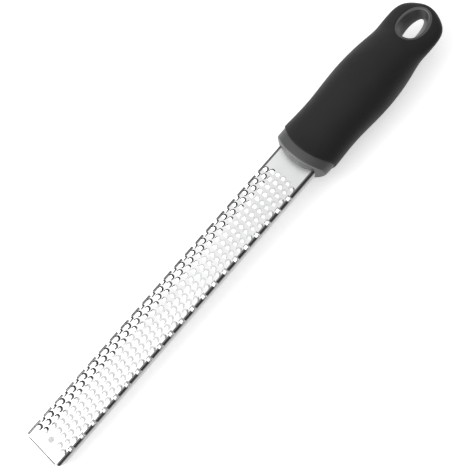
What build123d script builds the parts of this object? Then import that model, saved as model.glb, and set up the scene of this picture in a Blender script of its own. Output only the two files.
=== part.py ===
import os
from math import asin, atan2, cos, degrees, radians, sin, sqrt, tan

from build123d import *

# Lengths are in millimetres. The tool is drawn level: its tip is at X 0, its handle lies
# towards +X and the face of the blade is the plane Z 0. The last section lays it on a table.

# Blade
blade_width = 25.0
blade_exposed = 205.4
sheet = 0.5
fold_radius = 1.2
rail_height = 8.8
rail_length_in_handle = 16.0
lip_width = 5.2
lip_corner_radius = 2.0

# Bent-down end of the blade, with a relief cut at each corner
nose_height = 5.5
nose_lap = 0.3
corner_relief = 1.2
tip_hole_radius = 1.8
tip_hole_from_tip = 8.0

# Teeth: arched rows of horseshoe windows, each with a raised tongue that cuts
row_count = 43
row_pitch = 4.39
first_row = 11.4
row_arc_radius = 25.0
teeth_per_long_row = 6
tooth_pitch = 3.75
window_radius = 1.7
window_leg = 1.0
slot_at_side = 0.7
slot_at_front = 0.95
tongue_thickness = 0.4
tongue_root = 0.3
tooth_angle = 22.0
edge_tooth_length = 2.0
edge_tooth_width = 1.6
edge_window_reach = 2.6
edge_window_drop = 1.6

# Flat tang inside the handle, locked by pegs of the core
tang_width = 16.0
tang_length = 52.0
tang_key_radius = 2.5
tang_key_spacing = 20.0
tang_key_count = 2
tang_clearance = 0.05

# Handle, measured from the front of its collar
handle_length = 119.6
handle_width = 38.2
handle_rise = 9.0
handle_drop = 18.6
grip_wall = 1.8
collar_step = 0.8
collar_length = 6.5
front_arc_radius = 27.0
collar_edge_radius = 1.6
belly_share = 0.519
grip_edge_radius = 0.5
end_reach = 13.0

# Hanging eye near the end of the handle: a straight throat that flares towards the top
eye_from_end = 15.5
eye_length = 21.0
eye_width = 6.8
eye_throat_depth = 7.0
eye_flare_along = 2.0
eye_flare_across = 23.5
eye_ring_length = 25.0
eye_ring_width = 17.6
eye_edge_radius = 0.5

overrun = 2.0

flat_half = blade_width / 2 - fold_radius
inner_fold_radius = fold_radius - sheet
handle_end = blade_exposed + handle_length


def handle_form(inset):
    """Body of the handle as a loft of ovals, all drawn in by the inset."""
    # Each row: place along the handle, half width, rise and drop from the blade's face,
    # as shares of the handle's length, half width, rise and drop.
    oval_shares = [
        (-0.010, 0.952, 0.880, 0.800),
        (0.088, 0.971, 0.890, 0.815),
        (0.231, 0.939, 0.845, 0.850),
        (0.372, 0.968, 0.925, 0.925),
        (belly_share, 1.000, 1.000, 1.000),
        (0.616, 0.965, 0.925, 0.962),
        (0.714, 0.880, 0.700, 0.800),
        (0.763, 0.843, 0.545, 0.680),
        (0.812, 0.852, 0.385, 0.570),
        (0.861, 0.856, 0.265, 0.490),
    ]
    # The end is a quarter oval in plan: these are angles round it.
    end_angles = [0, 24, 43, 60, 75]
    end_width_share, end_rise_share, end_drop_share = 0.846, 0.220, 0.460
    blunt_share = 0.5
    with BuildPart() as form:
        for place, wide, rise, drop in oval_shares:
            middle = (handle_rise * rise - handle_drop * drop) / 2
            half_thick = (handle_rise * rise + handle_drop * drop) / 2 - inset
            with BuildSketch(Plane.YZ.offset(blade_exposed + handle_length * place)):
                with Locations((0, middle)):
                    Ellipse(handle_width / 2 * wide - inset, half_thick)
        for angle in end_angles:
            turn = radians(angle)
            middle = (handle_rise * end_rise_share - handle_drop * end_drop_share) / 2
            half_thick = (handle_rise * end_rise_share + handle_drop * end_drop_share) / 2 - inset
            along = handle_end - end_reach + (end_reach - inset) * sin(turn)
            half_wide = (handle_width / 2 * end_width_share - inset) * cos(turn)
            with BuildSketch(Plane.YZ.offset(along)):
                with Locations((0, middle)):
                    Ellipse(half_wide, half_thick * cos(turn) ** blunt_share)
        loft()
    return form.part


def behind_front(front):
    """Tall block whose front is the arched plan line that starts at the given X."""
    with BuildPart() as block:
        with BuildSketch(Plane.XY.offset(-2 * handle_drop)):
            with Locations((front + front_arc_radius, 0)):
                Circle(front_arc_radius)
                Rectangle(
                    2 * handle_length,
                    2 * front_arc_radius,
                    align=(Align.MIN, Align.CENTER),
                )
        extrude(amount=4 * handle_drop)
    return block.part


def eye_prism(length, width):
    """Upright oval prism at the hanging eye."""
    with BuildPart() as prism:
        with BuildSketch(Plane.XY.offset(-2 * handle_drop)):
            with Locations((handle_end - eye_from_end, 0)):
                Ellipse(length / 2, width / 2)
        extrude(amount=4 * handle_drop)
    return prism.part


def eye_mouth():
    """The flare over the eye's throat, carried on past the top of the handle."""
    with BuildPart() as mouth:
        for climb in (0, eye_throat_depth + handle_rise):
            half_length = eye_length / 2 + climb * tan(radians(eye_flare_along))
            half_width = eye_width / 2 + climb * tan(radians(eye_flare_across))
            with BuildSketch(Plane.XY.offset(climb - eye_throat_depth)):
                with Locations((handle_end - eye_from_end, 0)):
                    Ellipse(half_length, half_width)
        loft(ruled=True)
    return mouth.part


def channel_sketch(gap):
    """Folded sheet seen from the end, grown by the gap: the face, two rails and the lips under them."""
    outer = blade_width / 2 + gap
    inner = blade_width / 2 - sheet - gap
    outer_bend = fold_radius + gap
    inner_bend = inner_fold_radius - gap
    low_bend = fold_radius - rail_height
    lip_end = blade_width / 2 - lip_width - gap
    lip_top = sheet + gap - rail_height
    with BuildSketch(Plane.YZ) as sketch:
        with BuildLine():
            Line((0, gap), (flat_half, gap))
            CenterArc((flat_half, -fold_radius), outer_bend, 0, 90)
            Line((outer, -fold_radius), (outer, low_bend))
            CenterArc((flat_half, low_bend), outer_bend, 270, 90)
            Polyline(
                (flat_half, -rail_height - gap),
                (lip_end, -rail_height - gap),
                (lip_end, lip_top),
                (flat_half, lip_top),
            )
            CenterArc((flat_half, low_bend), inner_bend, 270, 90)
            Line((inner, low_bend), (inner, -fold_radius))
            CenterArc((flat_half, -fold_radius), inner_bend, 0, 90)
            Line((flat_half, -sheet - gap), (0, -sheet - gap))
            mirror(about=Plane.YZ)
        make_face()
    return sketch.sketch


def is_eye_rim(edge):
    """True for the edges that close the eye above and below, and not for the edge of its throat."""
    box = edge.bounding_box()
    at_eye = abs(box.center().X - (handle_end - eye_from_end)) < eye_ring_width / 2
    runs_round = eye_width / 2 < box.size.X < (eye_length + eye_ring_length) / 2
    at_throat = abs(box.center().Z + eye_throat_depth) < sheet
    return at_eye and runs_round and not at_throat


def tooth_rows():
    """Places of the teeth, and of the edge teeth where every second row meets the folds."""
    teeth = []
    edges = []
    for row in range(row_count):
        apex = first_row + row * row_pitch
        long_row = row % 2 == 0
        count = teeth_per_long_row if long_row else teeth_per_long_row - 1
        for number in range(count):
            across = (number - (count - 1) / 2) * tooth_pitch
            near_tip_hole = row == 0 and abs(across) < tooth_pitch
            if near_tip_hole:
                continue
            back = row_arc_radius - sqrt(row_arc_radius**2 - across**2)
            slant = -degrees(asin(across / row_arc_radius))
            reach = window_radius - slot_at_front / 2
            teeth.append(Location((apex - reach - back, across, 0), (0, 0, slant)))
        if not long_row:
            back = row_arc_radius - sqrt(row_arc_radius**2 - flat_half**2)
            edges.append(apex + slot_at_front / 2 - back)
    return teeth, edges


teeth_places, edge_places = tooth_rows()


# One window: a half disc with short legs

with BuildSketch() as window:
    Circle(window_radius)
    Rectangle(window_radius, 2 * window_radius, align=(Align.MAX, Align.CENTER), mode=Mode.SUBTRACT)
    Rectangle(window_leg, 2 * window_radius, align=(Align.MAX, Align.CENTER))


# One tongue: it leaves the face at the root of its window and rises towards the handle

tongue_radius = window_radius - slot_at_side
tongue_centre = window_radius - slot_at_front - tongue_radius + window_leg
tooth_turn = radians(tooth_angle)
tongue_plane = Plane(
    origin=(-window_leg, 0, 0),
    x_dir=(cos(tooth_turn), 0, sin(tooth_turn)),
    z_dir=(-sin(tooth_turn), 0, cos(tooth_turn)),
)

with BuildPart() as tongue:
    with BuildSketch(tongue_plane):
        with Locations((tongue_centre, 0)):
            Circle(tongue_radius)
        with Locations((-tongue_root, 0)):
            Rectangle(
                tongue_centre + tongue_root,
                2 * tongue_radius,
                align=(Align.MIN, Align.CENTER),
            )
    extrude(amount=-tongue_thickness)


# One edge tongue: it stands over the fold, bent up at the same angle

edge_tooth_reach = edge_tooth_length * cos(tooth_turn)
edge_window_length = slot_at_front + edge_tooth_reach
edge_plane = Plane(
    origin=(-edge_window_length, 0, 0),
    x_dir=tongue_plane.x_dir,
    z_dir=tongue_plane.z_dir,
)

with BuildPart() as edge_tongue:
    with BuildSketch(edge_plane):
        with Locations((-tongue_root, 0)):
            Rectangle(
                edge_tooth_length + tongue_root,
                edge_tooth_width,
                align=(Align.MIN, Align.CENTER),
            )
    extrude(amount=-tongue_thickness)


# Blade: one folded sheet with its teeth, its bent-down end and its tang

rail_end = blade_exposed + rail_length_in_handle
tang_end = blade_exposed + tang_length
nose_half = flat_half - corner_relief
nose_root = max(corner_relief, fold_radius) + nose_lap
key_places = [(tang_end - tang_width / 2 - key * tang_key_spacing, 0) for key in range(tang_key_count)]

with BuildPart() as rasp_blade:
    extrude(channel_sketch(0), amount=rail_end, dir=(1, 0, 0))
    with BuildSketch(Plane.XZ):
        with Locations((0, -rail_height)):
            Rectangle(corner_relief, rail_height + overrun, align=(Align.MIN, Align.MIN))
    extrude(amount=blade_width, both=True, mode=Mode.SUBTRACT)
    front_edges = rasp_blade.edges().filter_by(Axis.Z).group_by(Axis.X)[0]
    fillet(front_edges.group_by(SortBy.LENGTH)[0], lip_corner_radius)
    with BuildSketch(Plane.XZ) as nose_profile:
        with BuildLine():
            Polyline((sheet, -fold_radius), (sheet, -nose_height), (0, -nose_height), (0, -fold_radius))
            CenterArc((fold_radius, -fold_radius), fold_radius, 90, 90)
            Polyline(
                (fold_radius, 0),
                (nose_root, 0),
                (nose_root, -sheet),
                (fold_radius, -sheet),
            )
            CenterArc((fold_radius, -fold_radius), inner_fold_radius, 90, 90)
        make_face()
    extrude(amount=nose_half, both=True)
    with BuildSketch(Plane.XY):
        with Locations((rail_end - overrun, 0)):
            Rectangle(
                tang_end - rail_end + overrun,
                tang_width,
                align=(Align.MIN, Align.CENTER),
            )
    extrude(amount=-sheet)
    with BuildSketch(Plane.XY.offset(overrun)):
        with Locations(*key_places):
            Circle(tang_key_radius)
        with Locations((tip_hole_from_tip, 0)):
            Circle(tip_hole_radius)
        with Locations(*teeth_places):
            add(window.sketch)
    extrude(amount=-(overrun + sheet + fold_radius), mode=Mode.SUBTRACT)
    with BuildSketch(Plane.XY.offset(overrun)):
        for place in edge_places:
            with Locations((place, blade_width / 2), (place, -blade_width / 2)):
                Rectangle(
                    edge_window_length,
                    2 * edge_window_reach,
                    align=(Align.MAX, Align.CENTER),
                )
    extrude(amount=-(overrun + edge_window_drop), mode=Mode.SUBTRACT)
    with Locations(*teeth_places):
        add(tongue.part)
    for place in edge_places:
        with Locations((place, flat_half), (place, -flat_half)):
            add(edge_tongue.part)


# Room for the tang in the core, with the pegs that lock it left standing

with BuildPart() as tang_room:
    extrude(channel_sketch(tang_clearance), amount=rail_end + tang_clearance, dir=(1, 0, 0))
    with BuildSketch(Plane.XY.offset(tang_clearance)):
        with Locations((rail_end - overrun, 0)):
            Rectangle(
                tang_end - rail_end + overrun + tang_clearance,
                tang_width + 2 * tang_clearance,
                align=(Align.MIN, Align.CENTER),
            )
    extrude(amount=-(sheet + 2 * tang_clearance))
    with BuildSketch(Plane.XY.offset(overrun)):
        with Locations(*key_places):
            Circle(tang_key_radius - tang_clearance)
    extrude(amount=-(2 * overrun + sheet), mode=Mode.SUBTRACT)


# Core: hard plastic moulded round the tang, seen as the collar and as the ring of the eye

whole_form = handle_form(0)
inner_form = handle_form(grip_wall)
behind_collar_front = behind_front(blade_exposed)
behind_grip_front = behind_front(blade_exposed + collar_length)

with BuildPart() as collar:
    add(handle_form(collar_step))
    add(behind_collar_front, mode=Mode.INTERSECT)
    fillet(collar.faces().sort_by(Axis.X)[0].edges(), collar_edge_radius)
    add(behind_grip_front, mode=Mode.SUBTRACT)

with BuildPart() as eye_ring:
    add(whole_form)
    add(eye_prism(eye_ring_length, eye_ring_width), mode=Mode.INTERSECT)

with BuildPart() as handle_core:
    add(inner_form)
    add(behind_grip_front, mode=Mode.INTERSECT)
    add(collar.part)
    add(eye_ring.part)
    add(eye_prism(eye_length, eye_width), mode=Mode.SUBTRACT)
    add(eye_mouth(), mode=Mode.SUBTRACT)
    fillet(handle_core.edges().filter_by(is_eye_rim), eye_edge_radius)
    add(tang_room.part, mode=Mode.SUBTRACT)


# Grip: soft rubber moulded over the core, open at the collar and round the ring

with BuildPart() as soft_grip:
    add(whole_form)
    add(behind_grip_front, mode=Mode.INTERSECT)
    add(inner_form, mode=Mode.SUBTRACT)
    add(eye_ring.part, mode=Mode.SUBTRACT)
    grip_front = soft_grip.faces().filter_by(GeomType.CYLINDER).sort_by(Axis.X)[0]
    fillet(grip_front.outer_wire().edges(), grip_edge_radius)


# Laying down: the tool rests on the front ends of its lips and on the belly of its handle

belly_along = blade_exposed + handle_length * belly_share
tilt = 0
for _ in range(6):
    turn = radians(tilt)
    foot = corner_relief * sin(turn) - rail_height * cos(turn)
    belly = (Rotation(0, -tilt, 0) * soft_grip.part).bounding_box().min.Z
    tilt += degrees(atan2(foot - belly, belly_along - corner_relief))

tilted = Rotation(0, -tilt, 0)
blade_box = (tilted * rasp_blade.part).bounding_box()
grip_box = (tilted * soft_grip.part).bounding_box()
middle = (blade_box.min.X + grip_box.max.X) / 2
lowest = min(blade_box.min.Z, grip_box.min.Z)
on_table = Location((-middle, 0, -lowest)) * tilted

rasp_blade.part.move(on_table)
handle_core.part.move(on_table)
soft_grip.part.move(on_table)

rasp_blade.part.label = "rasp_blade"
handle_core.part.label = "handle_core"
soft_grip.part.label = "soft_grip"

os.makedirs("parts", exist_ok=True)
export_step(rasp_blade.part, "parts/rasp_blade.step")
export_step(handle_core.part, "parts/handle_core.step")
export_step(soft_grip.part, "parts/soft_grip.step")
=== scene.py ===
from math import radians
from types import SimpleNamespace

import bpy
from bpy.props import FloatProperty, FloatVectorProperty, PointerProperty
from mathutils import Euler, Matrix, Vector
from mathutils.bvhtree import BVHTree


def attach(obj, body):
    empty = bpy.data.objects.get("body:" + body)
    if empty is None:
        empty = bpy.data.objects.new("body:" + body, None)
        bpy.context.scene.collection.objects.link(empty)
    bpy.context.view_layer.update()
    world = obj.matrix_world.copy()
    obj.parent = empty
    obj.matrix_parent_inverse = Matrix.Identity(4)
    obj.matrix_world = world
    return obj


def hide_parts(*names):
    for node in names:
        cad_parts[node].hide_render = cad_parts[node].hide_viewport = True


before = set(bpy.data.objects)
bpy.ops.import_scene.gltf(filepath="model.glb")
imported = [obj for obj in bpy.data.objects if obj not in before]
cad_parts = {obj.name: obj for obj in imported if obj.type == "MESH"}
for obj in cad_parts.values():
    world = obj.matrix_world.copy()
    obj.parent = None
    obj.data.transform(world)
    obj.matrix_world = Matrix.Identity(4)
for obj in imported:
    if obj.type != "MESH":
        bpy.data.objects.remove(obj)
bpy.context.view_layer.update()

bl_info = {
    "name": "Rasp Zester",
    "version": (1, 0, 0),
    "blender": (4, 5, 0),
    "location": "3D View > Sidebar > Rasp Zester",
    "description": "Dresses the packed model of a rasp zester and sets up its studio",
    "category": "Add Mesh",
}

# The blade rises from its tip to the handle. These place its face in the frame, in metres.
FACE_NORMAL = Vector((-0.036804, 0, 0.999322))
FACE_OFFSET = 0.014717

# Where the finishes and the painted shade of the blade pass into each other, in metres. Each pair is
# where a mask starts and where it is full. These are heights over the face.
BEND_TOP = (-0.00001, -0.00006)
BEND_FOOT = (-0.00160, -0.00150)
UNDER_BEND = (-0.0034, -0.0018)
EDGE_SKIN_TOP = (0.00008, 0.00002)
EDGE_SKIN_FOOT = (-0.0002, -0.0001)
CHANNEL_TOP = (-0.0008, -0.0012)
LIP_LEVEL = (-0.0030, -0.0035)
GROUND_TIPS = (0.00025, 0.00060)

# These are places across the blade, from its middle. A reach counts below zero where the steel
# faces the middle.
FACE_EDGE = (0.0107, 0.0112)
OUTER_REACH = (0.0112, 0.0121)
INNER_REACH = (-0.003, -0.006)
LIT_HALF = (-0.005, 0.003)
LIT_SHARE = 0.1

# How the steel lies to the face: 1 where it is level with it, 0 where upright and -1 underneath
LEVEL = (0.965, 0.998)
UPRIGHT = (0.22, 0.12)
UPPER_SIDE = (0.5, 0.8)
UNDERSIDE = (-0.5, -0.8)

# The core's front edge, which gets a painted highlight, by its slope, and the eye's throat, which gets
# painted shade, by its place, in metres
EDGE_FORWARD = (-0.12, -0.55)
EDGE_UPWARD = (0.2, 0.5)
EYE_START = (0.10, 0.11)
EYE_DEPTH = (0.020, 0.011)

# The mould's parting line, by how far from upright and how far sideways the surface faces
PAINTED_SEAM = (0.025, 0.010)
PAINTED_SIDES = (0.75, 0.95)
RAISED_SEAM = 0.03
RAISED_SIDES = 0.8

# Tones of wear and dust, and of a painted highlight and painted shade
HANDLED_STEEL = (0.62, 0.63, 0.64)
RUBBED_PLASTIC = (0.16, 0.16, 0.165)
EDGE_HIGHLIGHT = (0.24, 0.24, 0.245)
THROAT_SHADE = (0.012, 0.012, 0.0125)
DUST = (0.12, 0.118, 0.112)

# The room's light across the tool, from its lower right (-1) to its upper left (1) in the picture.
# Each row gives the two directions between which the light changes, and the light at each.
LOWER_RIGHT_LIGHT = (-0.52, -0.16, 0.30, 1.0)
UPPER_LEFT_LIGHT = (0.64, 0.94, 1.0, 0.56)

# The way in which the room grows brighter, by as much as this vector is long, and the floor's glow
LIGHT_LEAN = (-0.45, 0.10, 0.0)
FLOOR_GLOW = 0.50


# Settings that a user would change

class SteelSettings(bpy.types.PropertyGroup):
    """Colours, painted shade and brushing of the blade"""
    face_colour: FloatVectorProperty(
        name="Face Colour",
        description="Colour of the brushed face of the blade",
        subtype="COLOR",
        default=(0.86, 0.865, 0.87),
        min=0.0,
        max=1.0,
    )
    # Darker than the face, partly for the rougher finish of the upright steel and partly as painted shade
    side_colour: FloatVectorProperty(
        name="Side Colour",
        description="Colour of the rails and of the etched walls, which stay unpolished",
        subtype="COLOR",
        default=(0.62, 0.625, 0.63),
        min=0.0,
        max=1.0,
    )
    # Painted dark reflection and shade on the two long folds, given as the colour of the steel there
    fold_colour: FloatVectorProperty(
        name="Fold Colour",
        description="Colour of the steel stretched round the two long folds",
        subtype="COLOR",
        default=(0.045, 0.045, 0.047),
        min=0.0,
        max=1.0,
    )
    # Painted shade inside the channel, under the face, given as the colour of the steel there
    inside_colour: FloatVectorProperty(
        name="Inside Colour",
        description="Colour of the steel inside the channel, under the face",
        subtype="COLOR",
        default=(0.32, 0.32, 0.325),
        min=0.0,
        max=1.0,
    )
    roughness: FloatProperty(
        name="Steel Roughness",
        description="How blurred the reflections of the brushed face are",
        default=0.27,
        min=0.0,
        max=1.0,
    )
    line_width: FloatProperty(
        name="Brushed Line Width",
        description="Width of one brushed line",
        subtype="DISTANCE",
        unit="LENGTH",
        default=0.00009,
        min=0.00001,
    )


class PlasticSettings(bpy.types.PropertyGroup):
    """Colour and texture of the collar and the eye"""
    colour: FloatVectorProperty(
        name="Plastic Colour",
        description="Colour of the hard plastic of the collar and the eye",
        subtype="COLOR",
        default=(0.066, 0.067, 0.069),
        min=0.0,
        max=1.0,
    )
    roughness: FloatProperty(
        name="Plastic Roughness",
        description="How blurred the reflections of the hard plastic are",
        default=0.40,
        min=0.0,
        max=1.0,
    )
    spark_size: FloatProperty(
        name="Spark Texture Size",
        description="Size of one grain of the mould's spark-eroded texture",
        subtype="DISTANCE",
        unit="LENGTH",
        default=0.00022,
        min=0.00001,
    )


class RubberSettings(bpy.types.PropertyGroup):
    """Colour, texture and mesh of the soft grip"""
    colour: FloatVectorProperty(
        name="Rubber Colour",
        description="Colour of the soft grip",
        subtype="COLOR",
        default=(0.0075, 0.0075, 0.0078),
        min=0.0,
        max=1.0,
    )
    roughness: FloatProperty(
        name="Rubber Roughness",
        description="How blurred the reflections of the soft grip are",
        default=0.56,
        min=0.0,
        max=1.0,
    )
    grain_size: FloatProperty(
        name="Rubber Grain Size",
        description="Size of one grain of the matte surface",
        subtype="DISTANCE",
        unit="LENGTH",
        default=0.0003,
        min=0.00001,
    )
    mesh_size: FloatProperty(
        name="Grip Mesh Size",
        description="Size of one face of the grip's mesh",
        subtype="DISTANCE",
        unit="LENGTH",
        default=0.0005,
        min=0.0002,
    )
    seam_height: FloatProperty(
        name="Seam Height",
        description="How far the mould's parting line stands proud of the grip",
        subtype="DISTANCE",
        unit="LENGTH",
        default=0.00008,
        min=0.0,
    )


class StudioSettings(bpy.types.PropertyGroup):
    """Places and sizes of the camera, the lamp and the floor"""
    camera_place: FloatVectorProperty(
        name="Camera Place",
        description="Where the camera stands",
        subtype="TRANSLATION",
        unit="LENGTH",
        default=(-0.046302, -0.08938, 0.338883),
    )
    camera_turn: FloatVectorProperty(
        name="Camera Turn",
        description="Turn of the camera about X, Y and Z",
        subtype="EULER",
        unit="ROTATION",
        default=(radians(14.7535), radians(7.049), radians(-48.2669)),
    )
    lens: FloatProperty(
        name="Lens",
        description="Focal length on a 36 mm sensor, in millimetres",
        default=47.489,
        min=1.0,
    )
    lamp_place: FloatVectorProperty(
        name="Lamp Place",
        description="Where the middle of the soft box stands",
        subtype="TRANSLATION",
        unit="LENGTH",
        default=(-0.62, 0.50, 0.72),
    )
    lamp_target: FloatVectorProperty(
        name="Lamp Target",
        description="The point that the soft box faces",
        subtype="TRANSLATION",
        unit="LENGTH",
        default=(0.02, 0.0, 0.02),
    )
    lamp_size: FloatProperty(
        name="Lamp Size",
        description="Side of the square soft box",
        subtype="DISTANCE",
        unit="LENGTH",
        default=0.5,
        min=0.01,
    )
    lamp_power: FloatProperty(
        name="Lamp Power",
        description="Power of the soft box",
        unit="POWER",
        default=3.4,
        min=0.0,
    )
    floor_half: FloatProperty(
        name="Floor Half Width",
        description="Half the width of the floor",
        subtype="DISTANCE",
        unit="LENGTH",
        default=3.0,
        min=0.1,
    )


# Building blocks for node trees

def feed(tree, node, inputs):
    """Sets inputs of a node. Each is a value, or the socket that feeds it."""
    for name, value in inputs.items():
        if isinstance(value, bpy.types.NodeSocket):
            tree.links.new(value, node.inputs[name])
        else:
            node.inputs[name].default_value = value


def add_node(tree, kind, inputs=None, **settings):
    """Adds one node with its settings and its inputs."""
    node = tree.nodes.new(kind)
    for name, value in settings.items():
        setattr(node, name, value)
    feed(tree, node, inputs or {})
    return node


def new_material(name):
    """Empty node material with its tree and its principled shader."""
    material = bpy.data.materials.new(name)
    material.use_nodes = True
    return material, material.node_tree, material.node_tree.nodes["Principled BSDF"]


def maths(tree, operation, *values):
    """Socket of one operation, carried through two or more values."""
    total = values[0]
    for value in values[1:]:
        total = add_node(tree, "ShaderNodeMath", {0: total, 1: value}, operation=operation).outputs[0]
    return total


def absolute(tree, value):
    """Socket of the value without its sign."""
    return add_node(tree, "ShaderNodeMath", {0: value}, operation="ABSOLUTE").outputs[0]


def added(tree, value, *changes):
    """Socket of the value after each mask has added its amount."""
    for mask, amount in changes:
        value = maths(tree, "ADD", value, maths(tree, "MULTIPLY", mask, amount))
    return value


def reach(tree, vector, direction):
    """Socket of how far a vector reaches in one direction."""
    node = add_node(tree, "ShaderNodeVectorMath", {0: vector, 1: direction}, operation="DOT_PRODUCT")
    return node.outputs["Value"]


def stretched(tree, vector, factors):
    """Socket of the vector, multiplied along each axis."""
    node = add_node(tree, "ShaderNodeVectorMath", {0: vector, 1: factors}, operation="MULTIPLY")
    return node.outputs["Vector"]


def axes(tree, vector):
    """Sockets of a vector's X, Y and Z."""
    return add_node(tree, "ShaderNodeSeparateXYZ", {0: vector}).outputs


def noise(tree, inputs):
    """Socket of one noise texture."""
    return add_node(tree, "ShaderNodeTexNoise", inputs).outputs["Fac"]


def ramped(tree, value, from_low, from_high, to_low=0.0, to_high=1.0):
    """Socket of the value, carried smoothly from one range to another and held at its ends."""
    ends = {"From Min": from_low, "From Max": from_high, "To Min": to_low, "To Max": to_high}
    ramp = add_node(tree, "ShaderNodeMapRange", {"Value": value, **ends}, interpolation_type="SMOOTHSTEP")
    return ramp.outputs["Result"]


def mix_colours(tree, mask, low, high):
    """Socket of the colour that goes from low to high as the mask goes from 0 to 1."""
    mix = tree.nodes.new("ShaderNodeMix")
    mix.data_type = "RGBA"
    tree.links.new(mask, mix.inputs[0])
    for socket, value in ((mix.inputs[6], low), (mix.inputs[7], high)):
        if isinstance(value, bpy.types.NodeSocket):
            tree.links.new(value, socket)
        else:
            socket.default_value = (*value, 1)
    return mix.outputs[2]


def tinted(tree, colour, mask, share, tint):
    """Socket of the colour, taken towards a tint by a share of the mask."""
    return mix_colours(tree, maths(tree, "MULTIPLY", mask, share), colour, tint)


def shade(colour, share):
    """A share of one colour."""
    return [share * part for part in colour]


def bumped(tree, height, strength, depth):
    """Socket of the normal over fine relief. A height of 1 stands as high as the depth says."""
    bump = add_node(tree, "ShaderNodeBump", {"Height": height, "Strength": strength, "Distance": depth})
    return bump.outputs["Normal"]


# Effects that more than one material uses

def new_effect(name, inputs, output):
    """Empty node group with named inputs, given with their defaults, and one named output."""
    group = bpy.data.node_groups.new(name, "ShaderNodeTree")
    for title, default in inputs.items():
        kind = "NodeSocketVector" if isinstance(default, tuple) else "NodeSocketFloat"
        socket = group.interface.new_socket(title, in_out="INPUT", socket_type=kind)
        socket.default_value = default
    group.interface.new_socket(output, in_out="OUTPUT", socket_type="NodeSocketFloat")
    return group, group.nodes.new("NodeGroupInput").outputs, group.nodes.new("NodeGroupOutput")


def cloudy_mask():
    """Soft cloudy mask, for marks of handling and uneven finish."""
    group, inlet, outlet = new_effect("cloudy_mask", {"Size": 0.02, "Detail": 3.0, "Cover": 0.5}, "Mask")
    place = add_node(group, "ShaderNodeTexCoord").outputs["Object"]
    scale = maths(group, "DIVIDE", 1.0, inlet["Size"])
    inputs = {"Vector": place, "Scale": scale, "Detail": inlet["Detail"], "Roughness": 0.55}
    clouds = noise(group, inputs)
    low = maths(group, "SUBTRACT", 0.8, inlet["Cover"])
    feed(group, outlet, {"Mask": ramped(group, clouds, low, maths(group, "ADD", low, 0.3))})
    return group


def moulded_grain():
    """Fine moulded grain in two sizes, as a height from 0 to 1."""
    group, inlet, outlet = new_effect("moulded_grain", {"Size": 0.0003, "Softness": 0.5}, "Height")
    place = add_node(group, "ShaderNodeTexCoord").outputs["Object"]
    scale = maths(group, "DIVIDE", 1.0, inlet["Size"])
    cells = add_node(
        group,
        "ShaderNodeTexVoronoi",
        {"Vector": place, "Scale": scale, "Smoothness": inlet["Softness"]},
        feature="SMOOTH_F1",
    )
    broad = noise(group, {"Vector": place, "Scale": maths(group, "MULTIPLY", scale, 0.6), "Detail": 2.0})
    both = maths(group, "ADD", cells.outputs["Distance"], broad)
    feed(group, outlet, {"Height": maths(group, "MULTIPLY", both, 0.5)})
    return group


def fine_scratches():
    """Sparse fine scratches in one direction, as a mask."""
    inputs = {"Direction": (0.0, 0.0, 0.3), "Length": 0.02, "Width": 0.0003, "Cover": 0.3}
    group, inlet, outlet = new_effect("fine_scratches", inputs, "Mask")
    place = add_node(group, "ShaderNodeTexCoord").outputs["Object"]
    turned = add_node(group, "ShaderNodeMapping", {"Vector": place, "Rotation": inlet["Direction"]})
    along = maths(group, "DIVIDE", 1.0, inlet["Length"])
    across = maths(group, "DIVIDE", 1.0, inlet["Width"])
    factors = add_node(group, "ShaderNodeCombineXYZ", {"X": along, "Y": across, "Z": across})
    drawn = stretched(group, turned.outputs["Vector"], factors.outputs[0])
    streaks = noise(group, {"Vector": drawn, "Scale": 1.0, "Detail": 1.0, "Distortion": 0.2})
    low = maths(group, "SUBTRACT", 0.9, maths(group, "MULTIPLY", inlet["Cover"], 0.4))
    feed(group, outlet, {"Mask": ramped(group, streaks, low, maths(group, "ADD", low, 0.06))})
    return group


def use_effect(tree, make, inputs):
    """Socket of one use of a shared effect. Its group has its maker's name and is made once."""
    group = bpy.data.node_groups.get(make.__name__) or make()
    return add_node(tree, "ShaderNodeGroup", inputs, node_tree=group).outputs[0]


# The blade's finish

def blade_places(tree):
    """Sockets of where each point of the blade lies, and of how the steel faces there."""
    surface = add_node(tree, "ShaderNodeTexCoord").outputs
    across = axes(tree, surface["Object"])["Y"]
    height = reach(tree, surface["Object"], FACE_NORMAL)
    return SimpleNamespace(
        spot=surface["Object"],
        over_face=maths(tree, "SUBTRACT", height, FACE_OFFSET),
        facing=reach(tree, surface["Normal"], FACE_NORMAL),
        across=across,
        outward=maths(tree, "MULTIPLY", across, axes(tree, surface["Normal"])["Y"]),
    )


def brushed_lines(tree, spot, width):
    """Lines along the strip, a fine set and a broad one, as a tone from 0 to 1."""
    lines = []
    for fineness, length in ((1.0, 0.03), (0.35, 0.012)):
        across = fineness / width
        drawn = stretched(tree, spot, (1 / length, across, across))
        lines.append(noise(tree, {"Vector": drawn, "Scale": 1.0, "Detail": 3.0, "Roughness": 0.6}))
    return maths(tree, "MULTIPLY", maths(tree, "ADD", *lines), 0.5)


def fold_mask(tree, blade, walls):
    """Mask of the painted dark reflection and shade along the two long folds: the bend, the face's edge
    beside it and the rail just under it.
    """
    face = ramped(tree, blade.facing, *LEVEL)
    bend = maths(
        tree,
        "MULTIPLY",
        maths(tree, "SUBTRACT", 1.0, face),
        ramped(tree, blade.over_face, *BEND_TOP),
        ramped(tree, blade.over_face, *BEND_FOOT),
        maths(tree, "SUBTRACT", 1.0, walls),
    )
    beside = maths(
        tree,
        "MULTIPLY",
        ramped(tree, absolute(tree, blade.across), *FACE_EDGE),
        face,
        ramped(tree, blade.over_face, *EDGE_SKIN_TOP),
        ramped(tree, blade.over_face, *EDGE_SKIN_FOOT),
    )
    under = maths(
        tree,
        "MULTIPLY",
        ramped(tree, blade.outward, *OUTER_REACH),
        ramped(tree, blade.over_face, *UNDER_BEND),
    )
    return maths(tree, "MAXIMUM", bend, under, beside)


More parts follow.
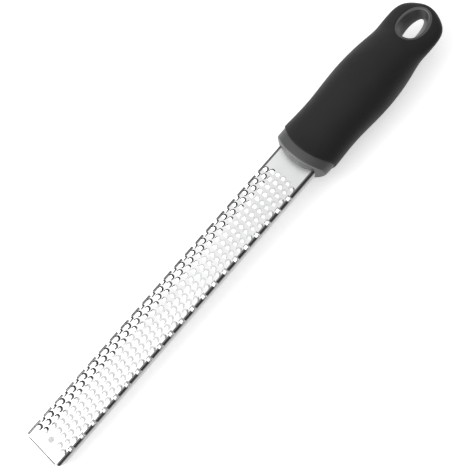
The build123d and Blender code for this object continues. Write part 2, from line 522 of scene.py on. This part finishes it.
def inside_mask(tree, blade):
    """Mask of the painted shade inside the channel: rails, lips and underside, weak in the half that
    light reaches.
    """
    rails = maths(
        tree,
        "MULTIPLY",
        ramped(tree, blade.outward, *INNER_REACH),
        ramped(tree, blade.over_face, *CHANNEL_TOP),
    )
    lips = maths(
        tree,
        "MULTIPLY",
        ramped(tree, blade.facing, *UPPER_SIDE),
        ramped(tree, blade.over_face, *LIP_LEVEL),
    )
    inside = maths(tree, "MAXIMUM", rails, lips, ramped(tree, blade.facing, *UNDERSIDE))
    return maths(tree, "MULTIPLY", inside, ramped(tree, blade.across, *LIT_HALF, LIT_SHARE, 1.0))


def brushed_steel(settings):
    """Stainless sheet: brushed face, rougher rails, ground tooth edges, and painted dark reflection and
    shade on the folds, the rails and the channel's inside.
    """
    material, tree, shader = new_material("brushed_steel")
    blade = blade_places(tree)
    brushed = brushed_lines(tree, blade.spot, settings.line_width)
    handled = use_effect(tree, cloudy_mask, {"Size": 0.028, "Detail": 4.0, "Cover": 0.45})
    scratched = use_effect(
        tree,
        fine_scratches,
        {"Direction": (0.0, 0.0, 0.12), "Length": 0.016, "Width": 0.00018, "Cover": 0.62},
    )
    walls = ramped(tree, blade.facing, *UPRIGHT)
    ground = ramped(tree, blade.over_face, *GROUND_TIPS)

    # The face is bright, the folds are painted dark as reflection and shade, and the rails and etched
    # walls lie between, partly for their rougher finish and partly as painted shade
    colour = mix_colours(tree, brushed, shade(settings.face_colour, 0.94), settings.face_colour)
    colour = tinted(tree, colour, handled, 0.22, HANDLED_STEEL)
    colour = mix_colours(tree, walls, colour, settings.side_colour)
    colour = mix_colours(tree, fold_mask(tree, blade, walls), colour, settings.fold_colour)
    # Painted shade inside the channel, weaker in the half that light reaches
    colour = mix_colours(tree, inside_mask(tree, blade), colour, settings.inside_colour)

    # The ground tooth edges are smoother than the face, and the etched walls are rougher
    changes = ((brushed, 0.10), (handled, 0.06), (walls, 0.16), (ground, -0.12), (scratched, -0.06))
    relief = added(tree, brushed, (scratched, -0.6))
    feed(
        tree,
        shader,
        {
            "Base Color": colour,
            "Metallic": 1.0,
            "Roughness": added(tree, settings.roughness, *changes),
            "Anisotropic": 0.35,
            "Normal": bumped(tree, relief, 0.35, 0.000012),
        },
    )
    return material


# The handle's finishes

def parting_line(tree, slope):
    """Mask of the line where the mould's halves meet, where the moulding's sides stand upright."""
    upright = ramped(tree, absolute(tree, slope["Z"]), *PAINTED_SEAM)
    return maths(tree, "MULTIPLY", upright, ramped(tree, absolute(tree, slope["Y"]), *PAINTED_SIDES))


def moulded_plastic(settings):
    """Satin gray hard plastic with the mould's spark texture, a parting line, a painted highlight on its
    front edge and painted shade in the eye's throat.
    """
    material, tree, shader = new_material("moulded_plastic")
    surface = add_node(tree, "ShaderNodeTexCoord").outputs
    spot = axes(tree, surface["Object"])
    slope = axes(tree, surface["Normal"])
    grain = use_effect(tree, moulded_grain, {"Size": settings.spark_size, "Softness": 0.4})
    handled = use_effect(tree, cloudy_mask, {"Size": 0.011, "Detail": 3.0, "Cover": 0.5})
    rubbed = use_effect(
        tree,
        fine_scratches,
        {"Direction": (0.3, 0.2, 0.9), "Length": 0.006, "Width": 0.00012, "Cover": 0.55},
    )
    # Masks of a painted highlight on the front rounded edge and of painted shade deep in the eye's throat
    edge = maths(
        tree, "MULTIPLY", ramped(tree, slope["X"], *EDGE_FORWARD), ramped(tree, slope["Z"], *EDGE_UPWARD)
    )
    throat = maths(
        tree, "MULTIPLY", ramped(tree, spot["X"], *EYE_START), ramped(tree, spot["Z"], *EYE_DEPTH)
    )

    pale = shade(settings.colour, 1.25)
    colour = mix_colours(tree, grain, shade(settings.colour, 0.88), pale)
    colour = tinted(tree, colour, handled, 0.25, pale)
    colour = tinted(tree, colour, rubbed, 0.35, RUBBED_PLASTIC)
    # Painted highlight along the front rounded edge
    colour = tinted(tree, colour, edge, 0.7, EDGE_HIGHLIGHT)
    # Painted shade deep in the eye's throat
    colour = tinted(tree, colour, throat, 0.75, THROAT_SHADE)
    relief = added(tree, grain, (parting_line(tree, slope), 2.5))
    feed(
        tree,
        shader,
        {
            "Base Color": colour,
            "Roughness": added(tree, settings.roughness, (grain, 0.08), (handled, -0.07)),
            "Specular IOR Level": 0.5,
            "Normal": bumped(tree, relief, 0.5, 0.00003),
        },
    )
    return material


def soft_rubber(settings):
    """Near-black soft rubber: fine matte grain, faint sheen, a little dust and handling."""
    material, tree, shader = new_material("soft_rubber")
    grain = use_effect(tree, moulded_grain, {"Size": settings.grain_size, "Softness": 0.8})
    handled = use_effect(tree, cloudy_mask, {"Size": 0.018, "Detail": 4.0, "Cover": 0.5})
    dusty = use_effect(tree, cloudy_mask, {"Size": 0.0011, "Detail": 2.0, "Cover": 0.18})

    pale = shade(settings.colour, 1.5)
    colour = mix_colours(tree, grain, shade(settings.colour, 0.8), pale)
    colour = tinted(tree, colour, handled, 0.3, pale)
    colour = tinted(tree, colour, dusty, 0.10, DUST)
    feed(
        tree,
        shader,
        {
            "Base Color": colour,
            "Roughness": added(tree, settings.roughness, (grain, 0.10), (handled, -0.09)),
            "Specular IOR Level": 0.31,
            "Sheen Weight": 0.03,
            "Sheen Roughness": 0.45,
            "Normal": bumped(tree, grain, 0.55, 0.00004),
        },
    )
    return material


def dress(piece, material):
    """Puts one material in all of a piece's slots."""
    for slot in piece.material_slots:
        slot.material = material
    if not piece.material_slots:
        piece.data.materials.append(material)


# The soft grip's own mesh

def even_copy(source, name, size):
    """New object with the source's shape in even faces of one size, drawn onto the source's surface."""
    piece = bpy.data.objects.new(name, source.data.copy())
    bpy.context.scene.collection.objects.link(piece)
    even = piece.modifiers.new("even", "REMESH")
    even.mode = "VOXEL"
    even.voxel_size = size
    even.adaptivity = 0.0
    bpy.context.view_layer.update()
    graph = bpy.context.evaluated_depsgraph_get()
    mesh = bpy.data.meshes.new_from_object(piece.evaluated_get(graph))
    piece.modifiers.clear()
    piece.data = mesh
    tree = BVHTree.FromPolygons(
        [point.co for point in source.data.vertices],
        [face.vertices for face in source.data.polygons],
    )
    for point in mesh.vertices:
        nearest = tree.find_nearest(point.co)[0]
        if nearest is None:
            raise RuntimeError(f"{name}: a point found no surface")
        point.co = nearest
    mesh.update()
    return piece


def raise_seam(mesh, height):
    """Raises the mould's parting line: the line round the sides where the surface stands upright."""
    moves = []
    for point in mesh.vertices:
        upright = max(0.0, 1 - abs(point.normal.z) / RAISED_SEAM)
        sideways = abs(point.normal.y) > RAISED_SIDES
        if upright and sideways:
            moves.append((point, point.co + point.normal * height * upright))
    for point, place in moves:
        point.co = place


# The stage

def pale_floor():
    """Pale floor that keeps soft shadows and shows as white to the camera and to the steel."""
    material, tree, shader = new_material("pale_floor")
    mottled = noise(tree, {"Scale": 40.0, "Detail": 3.0})
    colour = mix_colours(tree, mottled, (0.78, 0.78, 0.78), (0.82, 0.82, 0.82))
    feed(tree, shader, {"Base Color": colour, "Roughness": 0.9, "Specular IOR Level": 0.0})
    path = add_node(tree, "ShaderNodeLightPath").outputs
    rays = [path[f"Is {kind} Ray"] for kind in ("Camera", "Transmission", "Glossy")]
    seen = maths(tree, "MAXIMUM", *rays)
    glow = add_node(tree, "ShaderNodeEmission", {"Strength": maths(tree, "MULTIPLY", seen, FLOOR_GLOW)})
    both = add_node(tree, "ShaderNodeAddShader", {0: shader.outputs[0], 1: glow.outputs[0]})
    feed(tree, tree.nodes["Material Output"], {"Surface": both.outputs[0]})
    return material


def add_floor(half):
    """Square floor under the tool."""
    mesh = bpy.data.meshes.new("floor")
    corners = [(-half, -half, 0), (half, -half, 0), (half, half, 0), (-half, half, 0)]
    mesh.from_pydata(corners, [], [(0, 1, 2, 3)])
    mesh.materials.append(pale_floor())
    floor = bpy.data.objects.new("floor", mesh)
    bpy.context.scene.collection.objects.link(floor)


def studio_world():
    """White room, lit as a bright band over the tool's axis that fades towards both its sides."""
    world = bpy.data.worlds.new("studio")
    world.use_nodes = True
    tree = world.node_tree
    direction = add_node(tree, "ShaderNodeTexCoord").outputs["Generated"]
    sideways = axes(tree, direction)["Y"]
    glow = maths(
        tree,
        "MULTIPLY",
        ramped(tree, sideways, *LOWER_RIGHT_LIGHT),
        ramped(tree, sideways, *UPPER_LEFT_LIGHT),
    )
    lean = maths(tree, "ADD", reach(tree, direction, LIGHT_LEAN), 1.0)

    # The camera sees plain white behind the floor
    seen = add_node(tree, "ShaderNodeLightPath").outputs["Is Camera Ray"]
    lit = maths(tree, "MULTIPLY", glow, lean, maths(tree, "SUBTRACT", 1.0, seen))
    strength = maths(tree, "ADD", lit, seen)
    feed(tree, tree.nodes["Background"], {"Strength": strength, "Color": (1, 1, 1, 1)})
    return world


def add_lamp(settings):
    """Square soft box at its place, turned to its target."""
    data = bpy.data.lights.new("side_box", "AREA")
    data.shape = "SQUARE"
    data.size = settings.lamp_size
    data.energy = settings.lamp_power
    lamp = bpy.data.objects.new("side_box", data)
    lamp.location = settings.lamp_place
    view = Vector(settings.lamp_target) - Vector(settings.lamp_place)
    lamp.rotation_euler = view.to_track_quat("-Z", "Y").to_euler()
    bpy.context.scene.collection.objects.link(lamp)


def add_camera(settings):
    """Camera that takes the picture."""
    data = bpy.data.cameras.new("camera")
    data.sensor_width = 36
    data.lens = settings.lens
    data.clip_start = 0.01
    camera = bpy.data.objects.new("camera", data)
    camera.location = settings.camera_place
    camera.rotation_euler = Euler(settings.camera_turn)
    bpy.context.scene.collection.objects.link(camera)
    bpy.context.scene.camera = camera


# Operators

class ZESTER_OT_blade(bpy.types.Operator):
    """Finish the folded steel blade"""
    bl_idname = "zester.blade"
    bl_label = "Blade"

    def execute(self, context):
        dress(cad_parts["rasp_blade"], brushed_steel(context.scene.zester_steel))
        return {"FINISHED"}


class ZESTER_OT_core(bpy.types.Operator):
    """Finish the hard plastic collar and eye"""
    bl_idname = "zester.core"
    bl_label = "Core"

    def execute(self, context):
        dress(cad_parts["handle_core"], moulded_plastic(context.scene.zester_plastic))
        return {"FINISHED"}


class ZESTER_OT_grip(bpy.types.Operator):
    """Make the soft rubber grip over its CAD solid"""
    bl_idname = "zester.grip"
    bl_label = "Grip"

    def execute(self, context):
        settings = context.scene.zester_rubber
        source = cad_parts["soft_grip"]
        grip = even_copy(source, "rubber_grip", settings.mesh_size)
        raise_seam(grip.data, settings.seam_height)
        for face in grip.data.polygons:
            face.use_smooth = True
        grip.data.materials.clear()
        grip.data.materials.append(soft_rubber(settings))
        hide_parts("soft_grip")
        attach(grip, "root")
        return {"FINISHED"}


class ZESTER_OT_stage(bpy.types.Operator):
    """Set up the floor, the light and the camera"""
    bl_idname = "zester.stage"
    bl_label = "Stage"

    def execute(self, context):
        settings = context.scene.zester_studio
        add_floor(settings.floor_half)
        context.scene.world = studio_world()
        add_lamp(settings)
        add_camera(settings)
        context.scene.view_settings.view_transform = "Standard"
        return {"FINISHED"}


class ZESTER_PT_sidebar(bpy.types.Panel):
    """Sizes, colours and makers of the rasp zester"""
    bl_label = "Rasp Zester"
    bl_idname = "ZESTER_PT_sidebar"
    bl_space_type = "VIEW_3D"
    bl_region_type = "UI"
    bl_category = "Rasp Zester"

    def draw(self, context):
        layout = self.layout
        for settings in (
            context.scene.zester_steel,
            context.scene.zester_plastic,
            context.scene.zester_rubber,
            context.scene.zester_studio,
        ):
            box = layout.box()
            for name in settings.bl_rna.properties.keys():
                if name not in {"rna_type", "name"}:
                    box.prop(settings, name)
        for operator in (ZESTER_OT_blade, ZESTER_OT_core, ZESTER_OT_grip, ZESTER_OT_stage):
            layout.operator(operator.bl_idname)


classes = (
    SteelSettings,
    PlasticSettings,
    RubberSettings,
    StudioSettings,
    ZESTER_OT_blade,
    ZESTER_OT_core,
    ZESTER_OT_grip,
    ZESTER_OT_stage,
    ZESTER_PT_sidebar,
)


def register():
    for each in classes:
        bpy.utils.register_class(each)
    bpy.types.Scene.zester_steel = PointerProperty(type=SteelSettings)
    bpy.types.Scene.zester_plastic = PointerProperty(type=PlasticSettings)
    bpy.types.Scene.zester_rubber = PointerProperty(type=RubberSettings)
    bpy.types.Scene.zester_studio = PointerProperty(type=StudioSettings)


def unregister():
    del bpy.types.Scene.zester_studio
    del bpy.types.Scene.zester_rubber
    del bpy.types.Scene.zester_plastic
    del bpy.types.Scene.zester_steel
    for each in reversed(classes):
        bpy.utils.unregister_class(each)


def main():
    register()
    bpy.ops.zester.blade()
    bpy.ops.zester.core()
    bpy.ops.zester.grip()
    bpy.ops.zester.stage()


if __name__ == "__main__":
    main()
